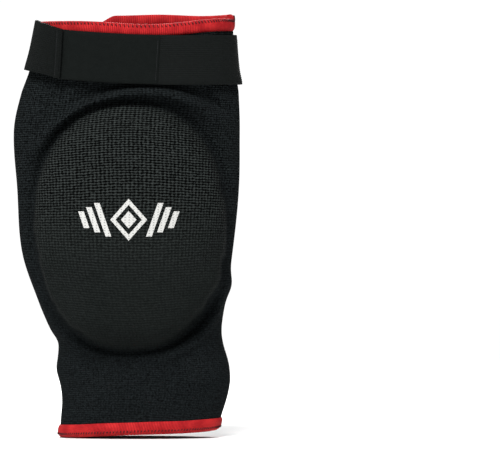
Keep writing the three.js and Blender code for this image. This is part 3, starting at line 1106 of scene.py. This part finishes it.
def elastic_finish():
    finish = Finish("black_elastic")
    along, up, _ = finish.uv()
    ribs = finish.math("SINE", up * (ELASTIC_RIBS * FULL_TURN))
    weft = finish.math("SINE", along * (ELASTIC_WEFT * FULL_TURN))
    place = finish.place()
    fuzz = finish.noise(place, 1800.0, 3.0)
    streaks = finish.noise(place, 60.0, 4.0)
    grain = finish.noise(place, 700.0, 3.0)
    tone = streaks * 0.4 + grain * 1.6 - 0.5
    body = finish.mix(tone, (0.0010, 0.0019, 0.0015, 1), (0.0052, 0.0068, 0.0062, 1))
    # Painted shade: the hollows between the ribs and weft are painted darker.
    painted_rib_shade = finish.between(ribs * 0.6 + weft * 0.4, -1.0, 0.6)
    colour = finish.mix(painted_rib_shade, (0.0018, 0.0026, 0.0026, 1), body)
    height = ribs * 0.4 + weft * 0.25 + fuzz * 0.5
    return finish.set(
        Base_Color=colour, Roughness=0.75, Specular_IOR_Level=0.1,
        Normal=finish.relief(height, 0.00018, 0.8),
    )


def loop_finish():
    finish = Finish("loop_tape")
    place = finish.place()
    fuzz = finish.noise(place, 1500.0, 4.0)
    nap = finish.noise(place, 260.0, 3.0)
    colour = finish.mix(fuzz * 0.6 + nap * 0.4, (0.0010, 0.0017, 0.0015, 1), (0.0062, 0.0080, 0.0074, 1))
    return finish.set(
        Base_Color=colour, Roughness=0.9, Specular_IOR_Level=0.08,
        Normal=finish.relief(fuzz + nap * 0.5, 0.0004, 0.9),
    )


def hook_finish():
    finish = Finish("hook_tape")
    place = finish.place()
    hooks = finish.node("ShaderNodeTexVoronoi", (), {"Vector": place, "Scale": 1100.0})
    colour = finish.mix(hooks, (0.02, 0.021, 0.022, 1), (0.004, 0.0042, 0.0045, 1))
    return finish.set(Base_Color=colour, Roughness=0.55, Normal=finish.relief(1 - hooks, 0.0005))


elastic = elastic_finish()

# %% The strap's line
STRAP_MIDDLE = 231 * MM
STRAP_HEIGHT = 30 * MM
STRAP_THICKNESS = 1.2 * MM
STRAP_OFF = 2.1 * MM
STRAP_SLOPE = 0.04
STRAP_LIFT = 0.2
STRAP_SAG = 2.9 * MM
STRAP_PRESS = 1.3 * MM
END_SLANT = 0.06
BAND_START = -53 * MM
TAIL_END = -38 * MM
LOOP_END = 19 * MM
PATCH = 0.56 * MM
LAYER_GAP = 0.05 * MM
TAIL_CLIMB = STRAP_THICKNESS + 2 * PATCH + 3 * LAYER_GAP


def strap_rise(u):
    """The strap's line: higher towards the tail, and sagging across the front."""
    x = form(u, STRAP_MIDDLE, 0)[:, 0] - SHIFT_X
    forwards = np.maximum(0, -np.sin(u))
    return -STRAP_SLOPE * x + STRAP_LIFT * np.maximum(0, TAIL_END - x) - STRAP_SAG * forwards ** 2


def strap_angle(x):
    return front_angle(np.array([SHIFT_X + x]), np.array([STRAP_MIDDLE]))[0]


def upright(u, z):
    """Keeps cut ends and seams on the front nearly upright, though the form leans."""
    x = form(u, STRAP_MIDDLE + strap_rise(u), 0)[:, 0]
    on_front = (np.sin(u) < 0) * (1 - ramp(np.abs(x - SHIFT_X), 44 * MM, 58 * MM))
    straight = front_angle(x + END_SLANT * (z - STRAP_MIDDLE), z)
    return u + (straight - u) * on_front


def strap_strip(name, start, end, columns, margin, off, thickness, finish):
    """A grid wrapped along the strap's line; off(u, across) is its inner face's distance."""
    bpy.ops.object.select_all(action="DESELECT")
    bpy.ops.mesh.primitive_grid_add(x_subdivisions=columns, y_subdivisions=12, size=1)
    strip = named(name)
    flat = corners(strip)
    u = start + (end - start) * (flat[:, 0] + 0.5)
    across = flat[:, 1] * 2
    z = STRAP_MIDDLE + strap_rise(u) + across * (STRAP_HEIGHT / 2 - margin)
    move_corners(strip, form(upright(u, z), z, off(u, across)))
    in_edit(strip, outward)
    facing = strip.data.polygons[len(strip.data.polygons) // 2]
    towards = facing.center.x * facing.normal.x + (facing.center.y - SHIFT_Y) * facing.normal.y
    if towards < 0:
        in_edit(strip, bpy.ops.mesh.flip_normals)
    apply_modifier(strip, "SOLIDIFY", thickness=thickness, offset=1)
    apply_modifier(strip, "BEVEL", width=0.3 * MM, segments=2, limit_method="ANGLE")
    smooth(strip, 40)
    strip.data.materials.append(finish)
    return told(strip)


# %% The band round the arm
LEFT_EDGE = math.pi
TAIL_START = LEFT_EDGE - 0.28


def strap_waves(u, across):
    """The strap stands a little proud at its lower edge, and ripples as loose elastic does."""
    ripple = 0.18 * np.sin(5 * u + 0.7) + 0.12 * np.sin(11 * u)
    lower = ramp(-across, 0.2, 1.0)
    return (ripple * (0.4 + 0.6 * across ** 2) + 0.5 * lower) * MM


def band_off(u, across):
    """Where the arm is narrow the strap presses into the knit; front and back it stands off."""
    return STRAP_OFF - STRAP_PRESS * np.cos(u) ** 8 + strap_waves(u, across)


band = strap_strip(
    "strap_elastic", strap_angle(BAND_START), FULL_TURN + TAIL_START,
    200, 0, band_off, STRAP_THICKNESS, elastic,
)
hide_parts("strap_band")
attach(band, UPPER)


def loop_off(u, across):
    return band_off(u, across) + STRAP_THICKNESS + LAYER_GAP


loop_tape = strap_strip(
    "loop_tape", strap_angle(BAND_START + 1 * MM), strap_angle(LOOP_END), 60, 0.35 * MM,
    loop_off, PATCH, loop_finish(),
)
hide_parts("loop_patch")
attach(loop_tape, UPPER)

# %% [markdown]
# The tail starts at the band's level on the left edge and climbs over the patches. Its end is
# folded under and sewn, so it is thicker there. The peel starts at the left edge; the tail is not
# bent here.
# %% The tail
FOLD_WIDTH = 3.8 * MM
FOLD_RISE = 0.55 * MM
FOLD_LINE = TAIL_END - FOLD_WIDTH
SEAM_DEPTH = 0.3 * MM


def tail_off(u, across):
    climb = (strap_angle(BAND_START - 3 * MM) - LEFT_EDGE) * 0.9
    share = ramp(u - LEFT_EDGE, 0, climb)
    x = form(u, STRAP_MIDDLE, 0)[:, 0] - SHIFT_X
    fold = FOLD_RISE * ramp(x, FOLD_LINE - 0.3 * MM, FOLD_LINE + 0.3 * MM)
    seams = bump_at(x - FOLD_LINE, 0.5 * MM) + bump_at(x - TAIL_END + 0.9 * MM, 0.4 * MM)
    return band_off(u, across) + TAIL_CLIMB * share + fold - SEAM_DEPTH * seams


def hook_off(u, across):
    return tail_off(u, across) - PATCH - LAYER_GAP


tail = strap_strip(
    "strap_tail_end", TAIL_START, strap_angle(TAIL_END), 100, 0,
    tail_off, STRAP_THICKNESS, elastic,
)
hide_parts("strap_tail")
hook_tape = strap_strip(
    "hook_tape", strap_angle(BAND_START + 1 * MM), strap_angle(TAIL_END - 1.5 * MM), 16, 1.5 * MM,
    hook_off, PATCH, hook_finish(),
)
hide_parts("hook_patch")
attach(hook_tape, TAIL)
peel = hinge("strap_peel")
PEEL_LENGTH = 5 * MM
peel[1] + PEEL_LENGTH
peel[1] - PEEL_LENGTH
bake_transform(tail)


# %% Seams across the strap
def across_strap(u, layer, proud_by, margin):
    """Stitches in a line across the strap, at one angle around, on a layer's outer face."""
    def place_at(step, along, across, proud):
        height = STRAP_HEIGHT - 2 * margin
        rise = strap_rise(np.array([u]))[0]
        z = STRAP_MIDDLE + rise - height / 2 + height * step + across
        _, half_width, half_depth = section(z)
        at = u + along / np.hypot(half_width * np.sin(u), half_depth * np.cos(u))
        return form(upright(at, z), z, layer(at, 2 * step - 1) + proud_by + proud)
    return place_at


def strap_seam(name, node, body, u, layer, proud_by, margin):
    place_at = across_strap(u, layer, proud_by, margin)
    row = stitch_row(
        name, count=22, length=1.05 * MM, width=0.42 * MM,
        place_at=place_at, thread=black_thread,
    )
    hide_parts(node)
    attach(row, body)


strap_seam("anchor_stitches", "strap_anchor_seam", UPPER, 0.0, band_off, STRAP_THICKNESS, 2 * MM)
loop_turn = strap_angle(LOOP_END - 1.2 * MM)
strap_seam("loop_stitches", "loop_end_seam", UPPER, loop_turn, loop_off, PATCH, 3 * MM)
fold_turn = strap_angle(FOLD_LINE + 0.5 * MM)
strap_seam("tail_stitches", "tail_end_seam", TAIL, fold_turn, tail_off, STRAP_THICKNESS, 2 * MM)

# %% [markdown]
# ## The printed mark
# The print is a plain device of the maker's own: a lozenge between slanted bars. Each piece of ink
# is a flat grid in its own shape, dropped straight back onto the knit, and given the thickness of
# ink. Its UV map counts the same stitches as the knit's, so the pits show through the ink.
# %% Ink finish
def ink_finish():
    finish = Finish("white_ink")
    across, up, _ = finish.uv()
    column = finish.math("COSINE", across * (KNIT_COLUMNS * FULL_TURN))
    row = finish.math("COSINE", up * (KNIT_ROWS * FULL_TURN))
    grain = finish.noise(finish.place(), 1400.0, 3.0)
    pit = finish.between(column * 0.45 + row * 0.55 + grain * 0.5, 0.75, 1.25)
    # Painted shade: the knit's pits are painted dark grey through the ink.
    colour = finish.mix(pit * 0.7, (0.50, 0.50, 0.48, 1), (0.12, 0.125, 0.125, 1))
    height = grain * 0.3 - pit
    return finish.set(Base_Color=colour, Roughness=0.6, Normal=finish.relief(height, 0.0003, 0.8))


ink = ink_finish()
INK_THICKNESS = 0.35 * MM
INK_SINK = 0.12 * MM
MARK_X = DOME_X
MARK_Z = 131.5 * MM


def on_knit(x, z):
    return knit_face.ray_cast(Vector((x, -1, z)), Vector((0, 1, 0)))[0].y


def count_stitches(piece):
    """Gives the ink the knit's own UV map."""
    rows = np.linspace(0, 1, 400)
    heights = knit_height(rows)
    places = corners(piece)
    u = front_angle(places[:, 0], places[:, 2]) / FULL_TURN
    v = np.interp(places[:, 2], heights, rows)
    for loop in piece.data.loops:
        piece.data.uv_layers.active.data[loop.index].uv = (u[loop.vertex_index], v[loop.vertex_index])


def print_piece(name, node, columns, rows, shape):
    """A grid shaped by shape(s, t), which gives x and z beside the mark's middle."""
    bpy.ops.object.select_all(action="DESELECT")
    bpy.ops.mesh.primitive_grid_add(x_subdivisions=columns, y_subdivisions=rows, size=1)
    piece = named(name)
    flat = corners(piece) + 0.5
    x, z = shape(flat[:, 0], flat[:, 1])
    x, z = MARK_X + x, MARK_Z + z
    y = np.array([on_knit(a, b) for a, b in zip(x, z)]) + INK_SINK
    move_corners(piece, np.stack([x, y, z], 1))
    in_edit(piece, merge, outward)
    if piece.data.polygons[0].normal.y > 0:
        in_edit(piece, bpy.ops.mesh.flip_normals)
    apply_modifier(piece, "SOLIDIFY", thickness=INK_THICKNESS, offset=1)
    apply_modifier(piece, "BEVEL", width=0.1 * MM, segments=1, limit_method="ANGLE")
    count_stitches(piece)
    smooth(piece, 40)
    piece.data.materials.append(ink)
    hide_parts(node)
    bends(piece)
    return told(piece)


# %% Lozenge and bars
LOZENGE_WIDTH = 11 * MM
LOZENGE_HEIGHT = 12.5 * MM
LOZENGE_LINE = 3.2 * MM
CORE_SIZE = 0.42
CORE_PINHOLE = 0.02


def lozenge(size, inner):
    """A frame round a lozenge: s goes round its four sides, and t from its inner to outer edge."""
    def shape(s, t):
        side = np.minimum(np.floor(s * 4), 3)
        part = s * 4 - side
        turn = side * math.pi / 2
        x = np.cos(turn) * (1 - part) + np.cos(turn + math.pi / 2) * part
        z = np.sin(turn) * (1 - part) + np.sin(turn + math.pi / 2) * part
        scale = size * (inner + (1 - inner) * t)
        return x * LOZENGE_WIDTH * scale, z * LOZENGE_HEIGHT * scale
    return shape


def bar(side, middle, height, width=3.4 * MM, slant=0.35):
    def shape(s, t):
        z = height * (t - 0.5)
        return side * (middle + slant * z) + (s - 0.5) * width, z
    return shape


print_piece("mark_lozenge_ink", "mark_lozenge", 64, 4, lozenge(1, 1 - LOZENGE_LINE / LOZENGE_WIDTH))
print_piece("mark_core_ink", "mark_core", 32, 4, lozenge(CORE_SIZE, CORE_PINHOLE))
BAR_FIRST = 15.5 * MM
BAR_PITCH = 5.6 * MM
for index, bar_height in enumerate((20 * MM, 15 * MM, 10 * MM)):
    for side, label in ((-1, "left"), (1, "right")):
        print_piece(
            f"mark_bar_{label}_{index + 1}_ink", f"mark_bar_{label}_{index + 1}",
            4, 24, bar(side, BAR_FIRST + BAR_PITCH * index, bar_height),
        )
